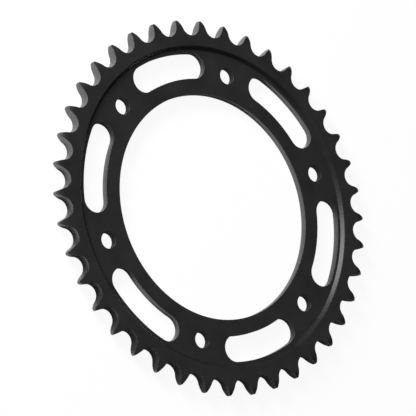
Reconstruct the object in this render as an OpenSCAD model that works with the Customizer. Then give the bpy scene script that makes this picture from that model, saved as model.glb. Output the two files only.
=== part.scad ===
// Motorcycle rear sprocket, machined from one steel plate.
// It lies on its flat back face: Z is the wheel axis and points out of the recessed face.
// X runs through a bolt hole that lines up with a tooth. All sizes are in millimetres.

/* [Teeth] */

// how many teeth the sprocket has
tooth_count = 40; // [39:1:41]
// distance from one chain pin to the next
chain_pitch = 15.875; // [15.6:0.025:16.2]
// diameter of the chain's rollers
roller_d = 10.16; // [9.6:0.02:10.6]
// radial play under a seated roller
root_clearance = 0.3; // [0:0.05:0.6]
// radius of the seat that a roller rests in
seat_r = 5.6; // [5.4:0.05:5.8]
// angle of the seat either side of the middle of the gap
seat_half_angle = 68; // [65:0.5:70]
// radius of the rounded flank above the seat
flank_r = 51; // [40:1:80]
// how far the tooth tips stand outside the pitch circle
tip_h = 3.5; // [2.8:0.1:4.2]
// how far in from the tips the sides start to curve in
side_relief_h = 4.9; // [3:0.1:6]
// radius of the curve at the sides of the teeth
side_relief_r = 8.2; // [7.5:0.1:16]

/* [Plate] */

// thickness of the toothed ring
ring_t = 5.8; // [5.2:0.1:6.6]
// thickness of the thinner web inside the ring
web_t = 3.9; // [3.2:0.1:4.6]
// width of the flat ring face between the sloping step and the foot of the teeth
ring_w = 5.9; // [5:0.1:7]
// angle of the sloping step from the web face
step_angle = 45; // [38:1:70]
// diameter of the centre bore
bore_d = 126; // [120:0.5:130]
// width of the bevel on the edges of the bore
bore_bevel = 0.35; // [0.2:0.05:0.6]
// width of the bevel on the upper edge of the step
step_bevel = 0.25; // [0.1:0.05:0.5]

/* [Bolt holes] */

// number of bolt holes
bolt_count = 6; // [5:1:6]
// diameter of the circle that the bolt holes lie on
bolt_circle_d = 153; // [149:0.5:157]
// diameter of each bolt hole
bolt_hole_d = 9; // [6.5:0.1:10.5]
// width of the bevel on the edges of the bolt holes
bolt_hole_bevel = 0.3; // [0.2:0.05:0.5]

/* [Lightening slots] */

// flat strip left between a slot and the foot of the step
slot_step_gap = 1.7; // [1:0.1:3]
// width of each slot
slot_w = 14.6; // [10:0.2:15.4]
// angle from the middle of a slot to the centre of its round end
slot_half_angle = 13.2; // [8:0.1:14.4]

/* [Hidden] */

// true circles
$fn = 96;
// how far a cutter passes the surface it opens
over = 1;

pitch_angle = 360 / tooth_count;
pitch_r = chain_pitch / (2 * sin(pitch_angle / 2));
tip_r = pitch_r + tip_h;
root_r = pitch_r - roller_d / 2 - root_clearance;
seat_centre_r = root_r + seat_r;
// the relief arcs are centred on this radius, one above each side of the plate
relief_centre_r = tip_r - side_relief_h;

step_h = ring_t - web_t;
step_run = step_h / tan(step_angle);
step_top_r = root_r - ring_w;
step_foot_r = step_top_r - step_run;
bore_r = bore_d / 2;

bolt_angle = 360 / bolt_count;
bolt_circle_r = bolt_circle_d / 2;
bolt_hole_r = bolt_hole_d / 2;
slot_circle_r = step_foot_r - slot_step_gap - slot_w / 2;

// Half of the plate's section, with the bevelled bore edges and the sloping step.
module plate_section() {
    polygon([
        [bore_r + bore_bevel, 0],
        [relief_centre_r, 0],
        [relief_centre_r, ring_t],
        [step_top_r + step_bevel, ring_t],
        [step_top_r - step_bevel / tan(step_angle), ring_t - step_bevel],
        [step_foot_r, web_t],
        [bore_r + bore_bevel, web_t],
        [bore_r, web_t - bore_bevel],
        [bore_r, bore_bevel],
    ]);
}

// Section of the outer band that holds the teeth: its sides curve in towards the tips.
module tooth_section() {
    band_start_r = step_top_r + over;
    intersection() {
        translate([band_start_r, 0])
            square([tip_r - band_start_r, ring_t]);
        union() {
            translate([band_start_r, 0])
                square([relief_centre_r - band_start_r, ring_t]);
            intersection() {
                translate([relief_centre_r, side_relief_r])
                    circle(r = side_relief_r);
                translate([relief_centre_r, ring_t - side_relief_r])
                    circle(r = side_relief_r);
            }
        }
    }
}

// Plate turned to its full section, before the gaps and holes are cut.
module turned_blank() {
    rotate_extrude() {
        plate_section();
        tooth_section();
    }
}

// Outline of one tooth gap on the X axis: a round seat, then a rounded flank on either side.
module gap_outline() {
    flank_reach = seat_r + flank_r;
    flank_x = seat_centre_r - flank_reach * cos(seat_half_angle);
    flank_y = flank_reach * sin(seat_half_angle);
    // the mouth is drawn wider than the gap, and the flank circles trim it
    trim_x = seat_centre_r - (seat_r + over) * cos(seat_half_angle);
    trim_y = (seat_r + over) * sin(seat_half_angle);
    mouth_x = tip_r + over / 2;
    mouth_y = trim_y + (mouth_x - trim_x);
    translate([seat_centre_r, 0])
        circle(r = seat_r);
    difference() {
        polygon([
            [seat_centre_r, 0],
            [trim_x, trim_y],
            [mouth_x, mouth_y],
            [mouth_x, -mouth_y],
            [trim_x, -trim_y],
        ]);
        for (side = [-1, 1])
            translate([flank_x, side * flank_y])
                circle(r = flank_r);
    }
}

// All the gaps between the teeth, half a pitch off the X axis.
module tooth_gaps() {
    for (i = [0 : tooth_count - 1])
        rotate([0, 0, (i + 0.5) * pitch_angle])
            translate([0, 0, -over])
                linear_extrude(ring_t + 2 * over)
                    gap_outline();
}

// One bolt hole with a bevel at each face of the web, turned about its own axis.
module bolt_hole() {
    translate([bolt_circle_r, 0, 0])
        rotate_extrude()
            polygon([
                [0, -over],
                [bolt_hole_r + bolt_hole_bevel + over, -over],
                [bolt_hole_r, bolt_hole_bevel],
                [bolt_hole_r, web_t - bolt_hole_bevel],
                [bolt_hole_r + bolt_hole_bevel + over, web_t + over],
                [0, web_t + over],
            ]);
}

// One curved slot centred on the X axis, with full round ends.
module slot_cutter() {
    slot_cut_h = web_t + 2 * over;
    translate([0, 0, -over]) {
        rotate([0, 0, -slot_half_angle])
            rotate_extrude(angle = 2 * slot_half_angle)
                translate([slot_circle_r - slot_w / 2, 0])
                    square([slot_w, slot_cut_h]);
        for (side = [-1, 1])
            rotate([0, 0, side * slot_half_angle])
                translate([slot_circle_r, 0, 0])
                    cylinder(d = slot_w, h = slot_cut_h);
    }
}

// The whole sprocket. The slots lie midway between the bolt holes.
module sprocket() {
    color([0.15, 0.15, 0.155])
        difference() {
            turned_blank();
            tooth_gaps();
            for (i = [0 : bolt_count - 1])
                rotate([0, 0, i * bolt_angle]) {
                    bolt_hole();
                    rotate([0, 0, bolt_angle / 2])
                        slot_cutter();
                }
        }
}

sprocket();
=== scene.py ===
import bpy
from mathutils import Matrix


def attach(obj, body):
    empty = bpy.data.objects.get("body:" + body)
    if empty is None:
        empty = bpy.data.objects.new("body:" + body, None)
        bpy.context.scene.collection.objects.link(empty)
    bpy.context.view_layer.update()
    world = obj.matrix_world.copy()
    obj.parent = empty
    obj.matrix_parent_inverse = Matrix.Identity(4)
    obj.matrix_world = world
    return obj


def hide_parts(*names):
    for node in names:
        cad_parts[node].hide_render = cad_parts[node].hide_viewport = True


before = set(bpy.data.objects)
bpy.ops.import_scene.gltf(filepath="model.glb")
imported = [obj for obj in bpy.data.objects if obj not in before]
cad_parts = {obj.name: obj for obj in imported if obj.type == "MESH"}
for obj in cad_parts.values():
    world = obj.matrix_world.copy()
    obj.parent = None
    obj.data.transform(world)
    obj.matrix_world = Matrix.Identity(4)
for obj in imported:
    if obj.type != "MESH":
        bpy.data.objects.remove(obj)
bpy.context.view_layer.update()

from math import acos, atan2, cos, hypot, pi, radians, sin, tan

import bmesh
import bpy
from mathutils import Vector

# Motorcycle rear sprocket lying on its back face, with the recessed face up.
# It is one machined plate, so one Geometry Nodes piece takes the place of the CAD node.
# The sizes of the sprocket and its finish are in millimetres; the scene is in metres.

mm = 0.001
mathKind = "ShaderNodeMath"
vectorKind = "ShaderNodeVectorMath"
groupKind = "GeometryNodeGroup"
floatSocket = "NodeSocketFloat"
vectorSocket = "NodeSocketVector"


def addNode(tree, kind, sources=None, **settings):
    # one node with its settings, then each source as a link or as a fixed value
    node = tree.nodes.new(kind)
    for name, value in settings.items():
        setattr(node, name, value)
    for key, source in (sources or {}).items():
        if isinstance(source, bpy.types.Node):
            source = source.outputs[0]
        if isinstance(source, bpy.types.NodeSocket):
            tree.links.new(source, node.inputs[key])
        else:
            node.inputs[key].default_value = source
    return node


def newTree(name, inputs, outputs):
    # an empty Geometry Nodes tree with named sockets, each given as name: socket type
    tree = bpy.data.node_groups.new(name, "GeometryNodeTree")
    for label, kind in inputs.items():
        tree.interface.new_socket(label, in_out="INPUT", socket_type=kind)
    for label, kind in outputs.items():
        tree.interface.new_socket(label, in_out="OUTPUT", socket_type=kind)
    return tree, addNode(tree, "NodeGroupInput").outputs, addNode(tree, "NodeGroupOutput").inputs


def linearColour(hexCode):
    # sRGB hex to the linear values that the sockets take
    channels = [int(hexCode[i:i + 2], 16) / 255 for i in (1, 3, 5)]
    return [c / 12.92 if c <= 0.04045 else ((c + 0.055) / 1.055) ** 2.4 for c in channels] + [1.0]


# sizes of the sprocket

sprocket = {
    "teeth": 40,
    "chainPitch": 15.875,
    "rollerDiameter": 10.16,
    "rootClearance": 0.3,
    "seatRadius": 5.6,
    "seatHalfAngle": 68,
    "flankRadius": 51,
    "tipHeight": 3.5,       # above the pitch circle
    "reliefHeight": 4.9,    # how far in from the tips the sides curve in
    "reliefRadius": 8.2,
    "ringThickness": 5.8,
    "webThickness": 3.9,
    "ringWidth": 5.9,       # flat face from the step to the foot of the teeth
    "stepAngle": 45,
    "boreRadius": 63,
    "holes": 6,
    "holeRadius": 4.5,
    "holeCircleRadius": 76.5,
    "slotWidth": 14.6,
    "slotStepGap": 1.7,
    "slotHalfAngle": 13.2,
    "toothBreak": 0.16,     # roundings of the edges
    "slotBreak": 0.2,
    "holeBreak": 0.3,
    "boreBreak": 0.35,
    "stepBreak": 0.25,
    "hold": 0.12,           # flat band beside each rounding, so that the faces shade flat
    "skirt": 1.2,           # flat band round the step, before the rows of the tooth gaps begin
}

# columns of the mesh, counted from the middle of a tooth gap or of an opening to its other end

columns = {
    "seat": 8,
    "flank": 6,
    "tip": 1,
    "bore": 300,
    "hole": 28,
    "slotOuter": 12,
    "slotEnd": 22,
    "slotInner": 10,
}
gapColumns = columns["seat"] + columns["flank"] + columns["tip"]
faceRows = 12
roundingRows = 3
probe = 0.02                # of a column, to either side, to find an outline's direction
mergeDistance = 0.005 * mm


def deriveSizes(s):
    # sizes that follow from those above, in metres and radians
    halfPitch = pi / s["teeth"]
    pitchRadius = s["chainPitch"] / (2 * sin(halfPitch))
    rootRadius = pitchRadius - s["rollerDiameter"] / 2 - s["rootClearance"]
    tipRadius = pitchRadius + s["tipHeight"]
    seatX = rootRadius + s["seatRadius"]
    seatEnd = radians(s["seatHalfAngle"])
    reach = s["seatRadius"] + s["flankRadius"]
    flankX, flankY = seatX - reach * cos(seatEnd), reach * sin(seatEnd)
    # the flank arc ends where it meets the tip circle
    away = hypot(flankX, flankY)
    turn = (tipRadius ** 2 - away ** 2 - s["flankRadius"] ** 2) / (2 * s["flankRadius"] * away)
    flankEnd = atan2(flankY, flankX) - acos(turn)
    tipStart = atan2(flankY + s["flankRadius"] * sin(flankEnd),
                     flankX + s["flankRadius"] * cos(flankEnd))
    stepTop = rootRadius - s["ringWidth"]
    stepRise = s["ringThickness"] - s["webThickness"]
    stepFoot = stepTop - stepRise / tan(radians(s["stepAngle"]))
    return {
        "Teeth": s["teeth"],
        "Holes": s["holes"],
        "Ring Thickness": s["ringThickness"] * mm,
        "Web Thickness": s["webThickness"] * mm,
        "Root Radius": rootRadius * mm,
        "Seat Centre": (seatX * mm, 0.0, 0.0),
        "Seat Turn": -seatEnd,
        "Flank Centre": (flankX * mm, flankY * mm, 0.0),
        "Flank Turn": flankEnd + seatEnd,
        "Tip Turn": halfPitch - tipStart,
        "Relief Start": (tipRadius - s["reliefHeight"]) * mm,
        "Relief Radius": s["reliefRadius"] * mm,
        "Step Foot": stepFoot * mm,
        "Step Top": stepTop * mm,
        "Step Break": s["stepBreak"] * mm,
        "Slope Break": s["stepBreak"] / sin(radians(s["stepAngle"])) * mm,
        "Bore Radius": s["boreRadius"] * mm,
        "Hole Circle": s["holeCircleRadius"] * mm,
        "Hole Radius": s["holeRadius"] * mm,
        "Slot Circle": (stepFoot - s["slotStepGap"] - s["slotWidth"] / 2) * mm,
        "Slot Width": s["slotWidth"] * mm,
        "Slot Half Angle": radians(s["slotHalfAngle"]),
        "Tooth Break": s["toothBreak"] * mm,
        "Slot Break": s["slotBreak"] * mm,
        "Hole Break": s["holeBreak"] * mm,
        "Bore Break": s["boreBreak"] * mm,
        "Hold": s["hold"] * mm,
        "Skirt": s["skirt"] * mm,
    }


# outlines made of up to three arcs, each a turn of the last point about the arc's centre

arcInputs = {"Start": vectorSocket}
for arc in "123":
    arcInputs |= {"Centre " + arc: vectorSocket, "Turn " + arc: floatSocket,
                  "Columns " + arc: floatSocket}


def buildArcPath():
    tree, start, end = newTree("Arc Path", {"Column": floatSocket} | arcInputs,
                               {"Point": vectorSocket})
    distance = addNode(tree, mathKind, {0: start["Column"]}, operation="ABSOLUTE")
    point, reached = start["Start"], 0.0
    for arc in "123":
        upTo = addNode(tree, mathKind, {0: reached, 1: start["Columns " + arc]})
        angle = addNode(tree, "ShaderNodeMapRange", {
            "Value": distance, "From Min": reached, "From Max": upTo, "To Min": 0.0,
            "To Max": start["Turn " + arc]})
        point = addNode(tree, "ShaderNodeVectorRotate", {
            "Vector": point, "Center": start["Centre " + arc], "Angle": angle},
            rotation_type="Z_AXIS")
        reached = upTo
    # columns below zero are the mirror image
    side = addNode(tree, mathKind, {0: start["Column"]}, operation="SIGN")
    mirror = addNode(tree, "ShaderNodeCombineXYZ", {"X": 1.0, "Y": side, "Z": 1.0})
    point = addNode(tree, vectorKind, {0: point, 1: mirror}, operation="MULTIPLY")
    tree.links.new(point.outputs[0], end["Point"])
    return tree


def buildEdgeStrip(arcPath):
    # strip over an outline: front face rows, rounded edge, wall, rounded edge, back face rows
    tree, start, end = newTree("Edge Strip", {
        "Half Columns": floatSocket,
        "Face Rows": floatSocket,
        "Face Radius": floatSocket,
        "Face Angle": floatSocket,
        "Into Metal": floatSocket,
        "Break": floatSocket,
        "Hold": floatSocket,
        "Thickness": floatSocket,
    } | arcInputs, {"Strip": "NodeSocketGeometry"})

    # the index of a plain grid's point gives its column and row
    columnCount = addNode(tree, mathKind, {0: start["Half Columns"], 1: 2.0, 2: 1.0},
                          operation="MULTIPLY_ADD")
    wallRow = addNode(tree, mathKind, {0: start["Face Rows"], 1: roundingRows + 1.0})
    rowCount = addNode(tree, mathKind, {0: wallRow, 1: 2.0, 2: 2.0}, operation="MULTIPLY_ADD")
    grid = addNode(tree, "GeometryNodeMeshGrid", {"Vertices X": columnCount,
                                                  "Vertices Y": rowCount})
    index = addNode(tree, "GeometryNodeInputIndex")
    column = addNode(tree, mathKind, {0: index, 1: rowCount}, operation="DIVIDE")
    column = addNode(tree, mathKind, {0: column}, operation="FLOOR")
    row = addNode(tree, mathKind, {0: index, 1: rowCount}, operation="MODULO")
    column = addNode(tree, mathKind, {0: column, 1: start["Half Columns"]},
                     operation="SUBTRACT")
    rowBack = addNode(tree, mathKind, {0: rowCount, 1: 1.0}, operation="SUBTRACT")
    rowBack = addNode(tree, mathKind, {0: rowBack, 1: row}, operation="SUBTRACT")
    onBack = addNode(tree, mathKind, {0: row, 1: rowBack}, operation="GREATER_THAN")
    row = addNode(tree, mathKind, {0: row, 1: rowBack}, operation="MINIMUM")

    # point on the outline, and the way into the metal from its neighbours
    points = []
    for shift in (0.0, -probe, probe):
        moved = addNode(tree, mathKind, {0: column, 1: shift})
        sources = {name: start[name] for name in arcInputs} | {"Column": moved}
        points.append(addNode(tree, groupKind, sources, node_tree=arcPath))
    along = addNode(tree, vectorKind, {0: points[2], 1: points[1]}, operation="SUBTRACT")
    inward = addNode(tree, vectorKind, {0: along, 1: (0.0, 0.0, 1.0)},
                     operation="CROSS_PRODUCT")
    inward = addNode(tree, vectorKind, {0: inward}, operation="NORMALIZE")
    inward = addNode(tree, vectorKind, {0: inward, "Scale": start["Into Metal"]},
                     operation="SCALE")

    # quarter round: each row's distance into the metal and below the face
    roundStart = addNode(tree, mathKind, {0: start["Face Rows"], 1: 1.0})
    angle = addNode(tree, "ShaderNodeMapRange", {
        "Value": row, "From Min": roundStart, "From Max": wallRow, "To Min": 0.0,
        "To Max": pi / 2})
    sine = addNode(tree, mathKind, {0: angle}, operation="SINE")
    inset = addNode(tree, mathKind, {0: 1.0, 1: sine}, operation="SUBTRACT")
    inset = addNode(tree, mathKind, {0: inset, 1: start["Break"]}, operation="MULTIPLY")
    cosine = addNode(tree, mathKind, {0: angle}, operation="COSINE")
    depth = addNode(tree, mathKind, {0: 1.0, 1: cosine}, operation="SUBTRACT")
    depth = addNode(tree, mathKind, {0: depth, 1: start["Break"]}, operation="MULTIPLY")
    onFace = addNode(tree, mathKind, {0: row, 1: roundStart}, operation="LESS_THAN")
    inset = addNode(tree, mathKind, {0: onFace, 1: start["Hold"], 2: inset},
                    operation="MULTIPLY_ADD")
    offset = addNode(tree, vectorKind, {0: inward, "Scale": inset}, operation="SCALE")
    edgePoint = addNode(tree, vectorKind, {0: points[0], 1: offset})

    # face rows fan in from evenly spaced points on a circle
    noFace = addNode(tree, mathKind, {0: start["Face Rows"], 1: 0.5}, operation="LESS_THAN")
    share = addNode(tree, mathKind, {0: row, 1: noFace})
    divisor = addNode(tree, mathKind, {0: start["Face Rows"], 1: 1.0}, operation="MAXIMUM")
    share = addNode(tree, mathKind, {0: share, 1: divisor}, operation="DIVIDE", use_clamp=True)
    sector = addNode(tree, mathKind, {0: column, 1: start["Half Columns"]},
                     operation="DIVIDE")
    sector = addNode(tree, mathKind, {0: sector, 1: start["Face Angle"]},
                     operation="MULTIPLY")
    facePoint = addNode(tree, "ShaderNodeCombineXYZ", {"X": start["Face Radius"]})
    facePoint = addNode(tree, "ShaderNodeVectorRotate", {"Vector": facePoint, "Angle": sector},
                        rotation_type="Z_AXIS")
    flat = addNode(tree, "ShaderNodeMix", {0: share, 4: facePoint, 5: edgePoint},
                   data_type="VECTOR")

    # the front half hangs from the upper face, the back half stands on zero
    front = addNode(tree, mathKind, {0: start["Thickness"], 1: depth}, operation="SUBTRACT")
    height = addNode(tree, "ShaderNodeMix", {0: onBack, 2: front, 3: depth})
    height = addNode(tree, "ShaderNodeCombineXYZ", {"Z": height})
    place = addNode(tree, vectorKind, {0: flat.outputs[1], 1: height})
    strip = addNode(tree, "GeometryNodeSetPosition", {"Geometry": grid, "Position": place})
    tree.links.new(strip.outputs[0], end["Strip"])
    return tree


def buildBore(tree, start, edgeStrip):
    # centre bore, half of it on either side of the X axis
    boreStart = addNode(tree, "ShaderNodeCombineXYZ", {"X": start["Bore Radius"]})
    return addNode(tree, groupKind, {
        "Half Columns": columns["bore"], "Into Metal": 1.0, "Break": start["Bore Break"],
        "Hold": start["Hold"], "Thickness": start["Web Thickness"], "Start": boreStart,
        "Turn 1": pi, "Columns 1": columns["bore"]}, node_tree=edgeStrip)


def buildBoltHole(tree, start, edgeStrip):
    # the bolt hole on the X axis
    centre = addNode(tree, "ShaderNodeCombineXYZ", {"X": start["Hole Circle"]})
    holeStart = addNode(tree, mathKind, {0: start["Hole Circle"], 1: start["Hole Radius"]})
    holeStart = addNode(tree, "ShaderNodeCombineXYZ", {"X": holeStart})
    return addNode(tree, groupKind, {
        "Half Columns": columns["hole"], "Into Metal": 1.0, "Break": start["Hole Break"],
        "Hold": start["Hold"], "Thickness": start["Web Thickness"], "Start": holeStart,
        "Centre 1": centre, "Turn 1": pi, "Columns 1": columns["hole"]}, node_tree=edgeStrip)


def buildSlot(tree, start, edgeStrip):
    # a curved slot across the X axis: outer side, round end and inner side
    slotCircle = addNode(tree, "ShaderNodeCombineXYZ", {"X": start["Slot Circle"]})
    endCentre = addNode(tree, "ShaderNodeVectorRotate", {
        "Vector": slotCircle, "Angle": start["Slot Half Angle"]}, rotation_type="Z_AXIS")
    slotStart = addNode(tree, mathKind, {0: start["Slot Width"], 1: 0.5,
                                         2: start["Slot Circle"]}, operation="MULTIPLY_ADD")
    slotStart = addNode(tree, "ShaderNodeCombineXYZ", {"X": slotStart})
    turnBack = addNode(tree, mathKind, {0: start["Slot Half Angle"], 1: -1.0},
                       operation="MULTIPLY")
    return addNode(tree, groupKind, {
        "Half Columns": columns["slotOuter"] + columns["slotEnd"] + columns["slotInner"],
        "Into Metal": 1.0, "Break": start["Slot Break"], "Hold": start["Hold"],
        "Thickness": start["Web Thickness"], "Start": slotStart,
        "Turn 1": start["Slot Half Angle"], "Columns 1": columns["slotOuter"],
        "Centre 2": endCentre, "Turn 2": pi, "Columns 2": columns["slotEnd"],
        "Turn 3": turnBack, "Columns 3": columns["slotInner"]}, node_tree=edgeStrip)


def buildToothGap(tree, start, edgeStrip):
    # the gap between two teeth, with its share of the ring's faces
    faceAngle = addNode(tree, mathKind, {0: pi, 1: start["Teeth"]}, operation="DIVIDE")
    faceRadius = addNode(tree, mathKind, {0: start["Step Top"], 1: start["Skirt"]})
    gapStart = addNode(tree, "ShaderNodeCombineXYZ", {"X": start["Root Radius"]})
    return addNode(tree, groupKind, {
        "Half Columns": gapColumns, "Face Rows": faceRows, "Face Radius": faceRadius,
        "Face Angle": faceAngle, "Into Metal": -1.0, "Break": start["Tooth Break"],
        "Hold": start["Hold"], "Thickness": start["Ring Thickness"], "Start": gapStart,
        "Centre 1": start["Seat Centre"], "Turn 1": start["Seat Turn"],
        "Columns 1": columns["seat"],
        "Centre 2": start["Flank Centre"], "Turn 2": start["Flank Turn"],
        "Columns 2": columns["flank"],
        "Turn 3": start["Tip Turn"], "Columns 3": columns["tip"]}, node_tree=edgeStrip)


def repeatRound(tree, strip, count, first):
    # copies round the axis; the first one stands that share of a step on from the X axis
    spots = addNode(tree, "GeometryNodePoints", {"Count": count})
    angle = addNode(tree, mathKind, {0: 2 * pi, 1: count}, operation="DIVIDE")
    place = addNode(tree, mathKind, {0: addNode(tree, "GeometryNodeInputIndex"), 1: first})
    angle = addNode(tree, mathKind, {0: place, 1: angle}, operation="MULTIPLY")
    turn = addNode(tree, "ShaderNodeCombineXYZ", {"Z": angle})
    return addNode(tree, "GeometryNodeInstanceOnPoints", {
        "Points": spots, "Instance": strip, "Rotation": turn})


def buildStep(tree, start):
    # turned step from the web up to the ring, each length pulled out of the last circle
    rise = addNode(tree, mathKind, {0: start["Ring Thickness"], 1: start["Web Thickness"]},
                   operation="SUBTRACT")
    run = addNode(tree, mathKind, {0: start["Step Top"], 1: start["Step Foot"]},
                  operation="SUBTRACT")
    climb = addNode(tree, "ShaderNodeCombineXYZ", {"X": run, "Z": rise})
    slope = addNode(tree, vectorKind, {0: climb}, operation="NORMALIZE")
    slopeHold = addNode(tree, vectorKind, {0: slope, "Scale": start["Hold"]}, operation="SCALE")
    flatHold = addNode(tree, "ShaderNodeCombineXYZ", {"X": start["Hold"]})
    slopeBreak = addNode(tree, vectorKind, {0: slope, "Scale": start["Slope Break"]},
                         operation="SCALE")
    flatBreak = addNode(tree, "ShaderNodeCombineXYZ", {"X": start["Step Break"]})
    bevel = addNode(tree, vectorKind, {0: slopeBreak, 1: flatBreak})
    twoHolds = addNode(tree, vectorKind, {0: slopeHold, "Scale": 2.0}, operation="SCALE")
    slopeRest = addNode(tree, vectorKind, {0: climb, 1: slopeBreak}, operation="SUBTRACT")
    slopeRest = addNode(tree, vectorKind, {0: slopeRest, 1: twoHolds}, operation="SUBTRACT")
    flatRest = addNode(tree, mathKind, {0: start["Skirt"], 1: start["Step Break"]},
                       operation="SUBTRACT")
    flatRest = addNode(tree, mathKind, {0: flatRest, 1: start["Hold"]}, operation="SUBTRACT")
    flatRest = addNode(tree, "ShaderNodeCombineXYZ", {"X": flatRest})

    # the first circle lies on the web, just inside the foot of the step
    firstRadius = addNode(tree, mathKind, {0: start["Step Foot"], 1: start["Hold"]},
                          operation="SUBTRACT")
    around = addNode(tree, mathKind, {0: start["Teeth"], 1: 2 * gapColumns},
                     operation="MULTIPLY")
    circle = addNode(tree, "GeometryNodeMeshCircle", {"Vertices": around,
                                                      "Radius": firstRadius})
    lift = addNode(tree, "ShaderNodeCombineXYZ", {"Z": start["Web Thickness"]})
    step = addNode(tree, "GeometryNodeTransform", {"Geometry": circle, "Translation": lift})
    radial = addNode(tree, "GeometryNodeInputPosition")
    radial = addNode(tree, vectorKind, {0: radial, 1: (1.0, 1.0, 0.0)}, operation="MULTIPLY")
    radial = addNode(tree, vectorKind, {0: radial}, operation="NORMALIZE")
    edge = True
    for span in (flatHold, slopeHold, slopeRest, slopeHold, bevel, flatHold, flatRest):
        parts = addNode(tree, "ShaderNodeSeparateXYZ", {0: span})
        outward = addNode(tree, vectorKind, {0: radial, "Scale": parts.outputs["X"]},
                          operation="SCALE")
        upward = addNode(tree, "ShaderNodeCombineXYZ", {"Z": parts.outputs["Z"]})
        offset = addNode(tree, vectorKind, {0: outward, 1: upward})
        step = addNode(tree, "GeometryNodeExtrudeMesh", {
            "Mesh": step, "Selection": edge, "Offset": offset, "Offset Scale": 1.0},
            mode="EDGES")
        edge = step.outputs["Top"]
    return step


def closeFaces(tree, start, walls):
    # the web's face and the back are filled from the open edges, those that have one neighbour
    borders = addNode(tree, "GeometryNodeInputMeshEdgeNeighbors")
    borders = addNode(tree, mathKind, {0: borders, 1: 1.5}, operation="LESS_THAN")
    middle = addNode(tree, mathKind, {0: start["Web Thickness"], 1: 0.5}, operation="MULTIPLY")
    spot = addNode(tree, "ShaderNodeSeparateXYZ", {0: addNode(tree, "GeometryNodeInputPosition")})
    lift = addNode(tree, "ShaderNodeCombineXYZ", {"Z": start["Web Thickness"]})
    whole = addNode(tree, "GeometryNodeJoinGeometry", {0: walls})
    for side, level in (("GREATER_THAN", lift), ("LESS_THAN", (0.0, 0.0, 0.0))):
        onSide = addNode(tree, mathKind, {0: spot.outputs["Z"], 1: middle}, operation=side)
        rim = addNode(tree, mathKind, {0: borders, 1: onSide}, operation="MULTIPLY")
        outline = addNode(tree, "GeometryNodeMeshToCurve", {"Mesh": walls, "Selection": rim})
        face = addNode(tree, "GeometryNodeFillCurve", {0: outline})
        face = addNode(tree, "GeometryNodeTransform", {"Geometry": face, "Translation": level})
        tree.links.new(face.outputs[0], whole.inputs[0])
    return addNode(tree, "GeometryNodeMergeByDistance", {"Geometry": whole,
                                                         "Distance": mergeDistance})


def curveSides(tree, start, whole):
    # side relief: both faces curve in towards the tips, and the walls shrink with them
    position = addNode(tree, "GeometryNodeInputPosition")
    height = addNode(tree, "ShaderNodeSeparateXYZ", {0: position}).outputs["Z"]
    flat = addNode(tree, vectorKind, {0: position, 1: (1.0, 1.0, 0.0)}, operation="MULTIPLY")
    radius = addNode(tree, vectorKind, {0: flat}, operation="LENGTH").outputs["Value"]
    past = addNode(tree, mathKind, {0: radius, 1: start["Relief Start"]}, operation="SUBTRACT")
    past = addNode(tree, mathKind, {0: past, 1: 0.0}, operation="MAXIMUM")
    past = addNode(tree, mathKind, {0: past, 1: 2.0}, operation="POWER")
    square = addNode(tree, mathKind, {0: start["Relief Radius"], 1: 2.0}, operation="POWER")
    fall = addNode(tree, mathKind, {0: square, 1: past}, operation="SUBTRACT")
    fall = addNode(tree, mathKind, {0: fall}, operation="SQRT")
    fall = addNode(tree, mathKind, {0: start["Relief Radius"], 1: fall}, operation="SUBTRACT")
    middle = addNode(tree, mathKind, {0: start["Ring Thickness"], 1: 0.5}, operation="MULTIPLY")
    fall = addNode(tree, mathKind, {0: fall, 1: middle}, operation="DIVIDE")
    toMiddle = addNode(tree, mathKind, {0: middle, 1: height}, operation="SUBTRACT")
    shift = addNode(tree, mathKind, {0: toMiddle, 1: fall}, operation="MULTIPLY")
    shift = addNode(tree, "ShaderNodeCombineXYZ", {"Z": shift})
    return addNode(tree, "GeometryNodeSetPosition", {"Geometry": whole, "Offset": shift})


def buildSprocketTree(edgeStrip, sizes):
    # the whole plate, with each of its sizes as an input
    kinds = {int: "NodeSocketInt", float: floatSocket, tuple: vectorSocket}
    inputs = {name: kinds[type(value)] for name, value in sizes.items()}
    tree, start, end = newTree("Sprocket", inputs | {"Finish": "NodeSocketMaterial"},
                               {"Geometry": "NodeSocketGeometry"})
    walls = addNode(tree, "GeometryNodeJoinGeometry", {0: buildBore(tree, start, edgeStrip)})
    for build, count, first in ((buildToothGap, start["Teeth"], 0.5),
                                (buildBoltHole, start["Holes"], 0.0),
                                (buildSlot, start["Holes"], 0.5)):
        copies = repeatRound(tree, build(tree, start, edgeStrip), count, first)
        tree.links.new(copies.outputs[0], walls.inputs[0])
    tree.links.new(buildStep(tree, start).outputs[0], walls.inputs[0])
    walls = addNode(tree, "GeometryNodeRealizeInstances", {0: walls})
    walls = addNode(tree, "GeometryNodeMergeByDistance", {"Geometry": walls,
                                                          "Distance": mergeDistance})
    whole = curveSides(tree, start, closeFaces(tree, start, walls))
    whole = addNode(tree, "GeometryNodeSetShadeSmooth", {0: whole})
    whole = addNode(tree, "GeometryNodeRealizeInstances", {0: whole})
    whole = addNode(tree, "GeometryNodeSetMaterial", {"Geometry": whole,
                                                      "Material": start["Finish"]})
    tree.links.new(whole.outputs[0], end["Geometry"])
    return tree


# finish

finish = {
    "darkColour": "#0e0e0e",
    "lightColour": "#1e1e1e",
    "roughness": 0.33,          # satin: wide, soft highlights
    "roughnessSpread": 0.05,    # to either side of it
    "ior": 2.0,                 # black oxide bends light strongly, so steep walls shine
    "lineSpacing": 0.8,         # real turning lines are 0.15 mm apart, too fine for the picture
    "lineDepth": 0.004,
    "lineShare": 0.3,           # how much the lines show in the colour, next to the patches
    "grainSize": 0.5,           # the real grain, about 0.05 mm, wouldn't show
    "grainLevels": (0.6, 1.4),  # of the noise, at the smoothest and the roughest spots
    "patchSize": 14.0,          # where the coating came out thinner or thicker
    "patchLevels": (0.4, 0.9),  # of the noise, at the dark and the light colour
}


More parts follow.
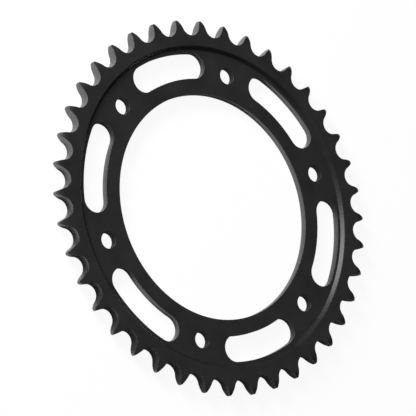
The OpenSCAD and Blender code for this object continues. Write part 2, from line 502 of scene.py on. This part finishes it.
def buildFinish():
    # satin black coating on machined steel: even and dark, with faint turning lines
    material = bpy.data.materials.new("coated_steel")
    material.use_nodes = True
    tree = material.node_tree
    tree.nodes.clear()
    coordinate = addNode(tree, "ShaderNodeTexCoord").outputs["Object"]
    flat = addNode(tree, vectorKind, {0: coordinate, 1: (1.0, 1.0, 0.0)}, operation="MULTIPLY")
    radius = addNode(tree, vectorKind, {0: flat}, operation="LENGTH").outputs["Value"]
    # turning lines round the axis
    lines = addNode(tree, "ShaderNodeTexNoise", {
        "W": radius, "Scale": 1 / (finish["lineSpacing"] * mm), "Detail": 2.0},
        noise_dimensions="1D")
    # fine grain of the coating
    grain = addNode(tree, "ShaderNodeTexNoise", {
        "Vector": coordinate, "Scale": 1 / (finish["grainSize"] * mm), "Detail": 2.0})
    mixed = addNode(tree, mathKind, {0: lines.outputs[0], 1: grain.outputs[0]})
    # patches where the coating came out slightly paler
    patches = addNode(tree, "ShaderNodeTexNoise", {
        "Vector": coordinate, "Scale": 1 / (finish["patchSize"] * mm), "Detail": 3.0})
    shade = addNode(tree, mathKind, {0: lines.outputs[0], 1: finish["lineShare"],
                                     2: patches.outputs[0]}, operation="MULTIPLY_ADD")
    darkest, lightest = finish["patchLevels"]
    shade = addNode(tree, "ShaderNodeMapRange", {
        "Value": shade, "From Min": darkest, "From Max": lightest, "To Min": 0.0,
        "To Max": 1.0})
    colour = addNode(tree, "ShaderNodeMix", {
        0: shade, 6: linearColour(finish["darkColour"]), 7: linearColour(finish["lightColour"])},
        data_type="RGBA")
    smoothest, roughest = finish["grainLevels"]
    roughness = addNode(tree, "ShaderNodeMapRange", {
        "Value": mixed, "From Min": smoothest, "From Max": roughest,
        "To Min": finish["roughness"] - finish["roughnessSpread"],
        "To Max": finish["roughness"] + finish["roughnessSpread"]})
    bump = addNode(tree, "ShaderNodeBump", {
        "Height": lines.outputs[0], "Distance": finish["lineDepth"] * mm, "Strength": 1.0})
    shader = addNode(tree, "ShaderNodeBsdfPrincipled", {
        "Base Color": colour.outputs[2], "Roughness": roughness,
        "IOR": finish["ior"], "Normal": bump})
    addNode(tree, "ShaderNodeOutputMaterial", {"Surface": shader})
    return material


print("finish")
coatedSteel = buildFinish()

# the sprocket's mesh

print("sprocket: nodes")
sizes = deriveSizes(sprocket)
sprocketTree = buildSprocketTree(buildEdgeStrip(buildArcPath()), sizes)
piece = bpy.data.objects.new("sprocketPlate", bpy.data.meshes.new("sprocketPlate"))
bpy.context.scene.collection.objects.link(piece)
modifier = piece.modifiers.new("Sprocket", "NODES")
modifier.node_group = sprocketTree
for item in sprocketTree.interface.items_tree:
    if item.in_out == "INPUT":
        modifier[item.identifier] = (sizes | {"Finish": coatedSteel})[item.name]

print("sprocket: mesh")
evaluated = piece.evaluated_get(bpy.context.evaluated_depsgraph_get())
mesh = bpy.data.meshes.new_from_object(evaluated)
piece.modifiers.clear()
piece.data = mesh
shell = bmesh.new()
shell.from_mesh(mesh)
bmesh.ops.recalc_face_normals(shell, faces=shell.faces)
openEdges = sum(1 for e in shell.edges if not e.is_manifold)
shell.to_mesh(mesh)
print("sprocket:", len(mesh.vertices), "vertices,", len(mesh.polygons), "faces,",
      openEdges, "open edges, volume", round(shell.calc_volume() * 1e6, 2), "cm3")
shell.free()

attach(piece, "root")
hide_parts("sprocket")

# floor

studio = {
    "floorColour": "#f2f2f2",
    "floorSize": 8.0,           # metres
    "floorDrop": 0.02,          # millimetres under the back face
    "cameraWhite": 0.93,        # how far the background is plain white to the camera
    "mirrorWhite": 0.02,        # the same in reflections, where a wall also mirrors its shadow
    "ceilingColour": "#5c5c5c", # overhead, what the flat faces mirror
    "wallColour": "#181818",
    "ceilingEdge": (0.5, 0.7),  # sine of the elevation where wall turns into ceiling
    "lampDistance": 1.4,
    # softboxes: bearing from the X axis and elevation in degrees, width and height in metres,
    # power in watts, and whether the steel mirrors them
    "lamps": {
        "main": (120, 34, 1.0, 0.8, 6.5, True),     # shines on the step
        "side": (118, 18, 0.6, 0.4, 54.0, False),   # lights the floor that the walls mirror
    },
}


def whiteShare(tree):
    # share of plain white in the background: by far the most for the camera
    lightPath = addNode(tree, "ShaderNodeLightPath").outputs
    mirrored = addNode(tree, mathKind, {0: lightPath["Is Glossy Ray"],
                                        1: lightPath["Is Transmission Ray"]},
                       operation="MAXIMUM")
    mirrored = addNode(tree, mathKind, {0: mirrored, 1: studio["mirrorWhite"]},
                       operation="MULTIPLY")
    return addNode(tree, mathKind, {0: lightPath["Is Camera Ray"], 1: studio["cameraWhite"],
                                    2: mirrored}, operation="MULTIPLY_ADD")


print("studio")
floorMaterial = bpy.data.materials.new("floor")
floorMaterial.use_nodes = True
floorTree = floorMaterial.node_tree
floorTree.nodes.clear()
floorPaint = addNode(floorTree, "ShaderNodeBsdfDiffuse", {
    "Color": linearColour(studio["floorColour"])})
floorShade = addNode(floorTree, "ShaderNodeMixShader", {
    0: whiteShare(floorTree), 1: floorPaint, 2: addNode(floorTree, "ShaderNodeEmission")})
addNode(floorTree, "ShaderNodeOutputMaterial", {0: floorShade})

reach = studio["floorSize"] / 2
level = -studio["floorDrop"] * mm
floorMesh = bpy.data.meshes.new("floor")
floorMesh.from_pydata([(-reach, -reach, level), (reach, -reach, level), (reach, reach, level),
                       (-reach, reach, level)], [], [(0, 1, 2, 3)])
floorMesh.materials.append(floorMaterial)
floor = bpy.data.objects.new("floor", floorMesh)
bpy.context.scene.collection.objects.link(floor)

# light

world = bpy.data.worlds.new("studio")
world.use_nodes = True
worldTree = world.node_tree
worldTree.nodes.clear()
direction = addNode(worldTree, "ShaderNodeTexCoord").outputs["Generated"]
height = addNode(worldTree, "ShaderNodeSeparateXYZ", {0: direction}).outputs["Z"]
wallTop, ceilingStart = studio["ceilingEdge"]
ceiling = addNode(worldTree, "ShaderNodeMapRange", {
    "Value": height, "From Min": wallTop, "From Max": ceilingStart, "To Min": 0.0,
    "To Max": 1.0})
roomColour = addNode(worldTree, "ShaderNodeMix", {
    0: ceiling, 6: linearColour(studio["wallColour"]), 7: linearColour(studio["ceilingColour"])},
    data_type="RGBA")
dimWorld = addNode(worldTree, "ShaderNodeBackground", {"Color": roomColour.outputs[2]})
whiteWorld = addNode(worldTree, "ShaderNodeBackground", {"Color": (1.0, 1.0, 1.0, 1.0)})
worldShade = addNode(worldTree, "ShaderNodeMixShader", {
    0: whiteShare(worldTree), 1: dimWorld, 2: whiteWorld})
addNode(worldTree, "ShaderNodeOutputWorld", {0: worldShade})
bpy.context.scene.world = world

for name, (bearing, elevation, width, height, power, mirrored) in studio["lamps"].items():
    lampData = bpy.data.lights.new(name, "AREA")
    lampData.shape = "RECTANGLE"
    lampData.size, lampData.size_y = width, height
    lampData.energy = power
    lamp = bpy.data.objects.new(name, lampData)
    lamp.visible_glossy = mirrored
    turn, rise = radians(bearing), radians(elevation)
    toLamp = Vector((cos(turn) * cos(rise), sin(turn) * cos(rise), sin(rise)))
    lamp.location = toLamp * studio["lampDistance"]
    lamp.rotation_euler = toLamp.to_track_quat("Z", "Y").to_euler()
    bpy.context.scene.collection.objects.link(lamp)

# camera

view = {                    # found by fitting the sprocket to the photograph
    "place": (-1.066957708, -0.032553889, 1.294435020),     # metres
    "turn": (15.84136, -36.63081, -23.67282),               # degrees
    "lens": 266.0766,
    "sensorWidth": 36.0,
}

print("camera")
cameraData = bpy.data.cameras.new("camera")
cameraData.sensor_width = view["sensorWidth"]
cameraData.lens = view["lens"]
camera = bpy.data.objects.new("camera", cameraData)
camera.location = view["place"]
camera.rotation_euler = [radians(angle) for angle in view["turn"]]
bpy.context.scene.collection.objects.link(camera)
bpy.context.scene.camera = camera

bpy.context.scene.view_settings.view_transform = "Standard"
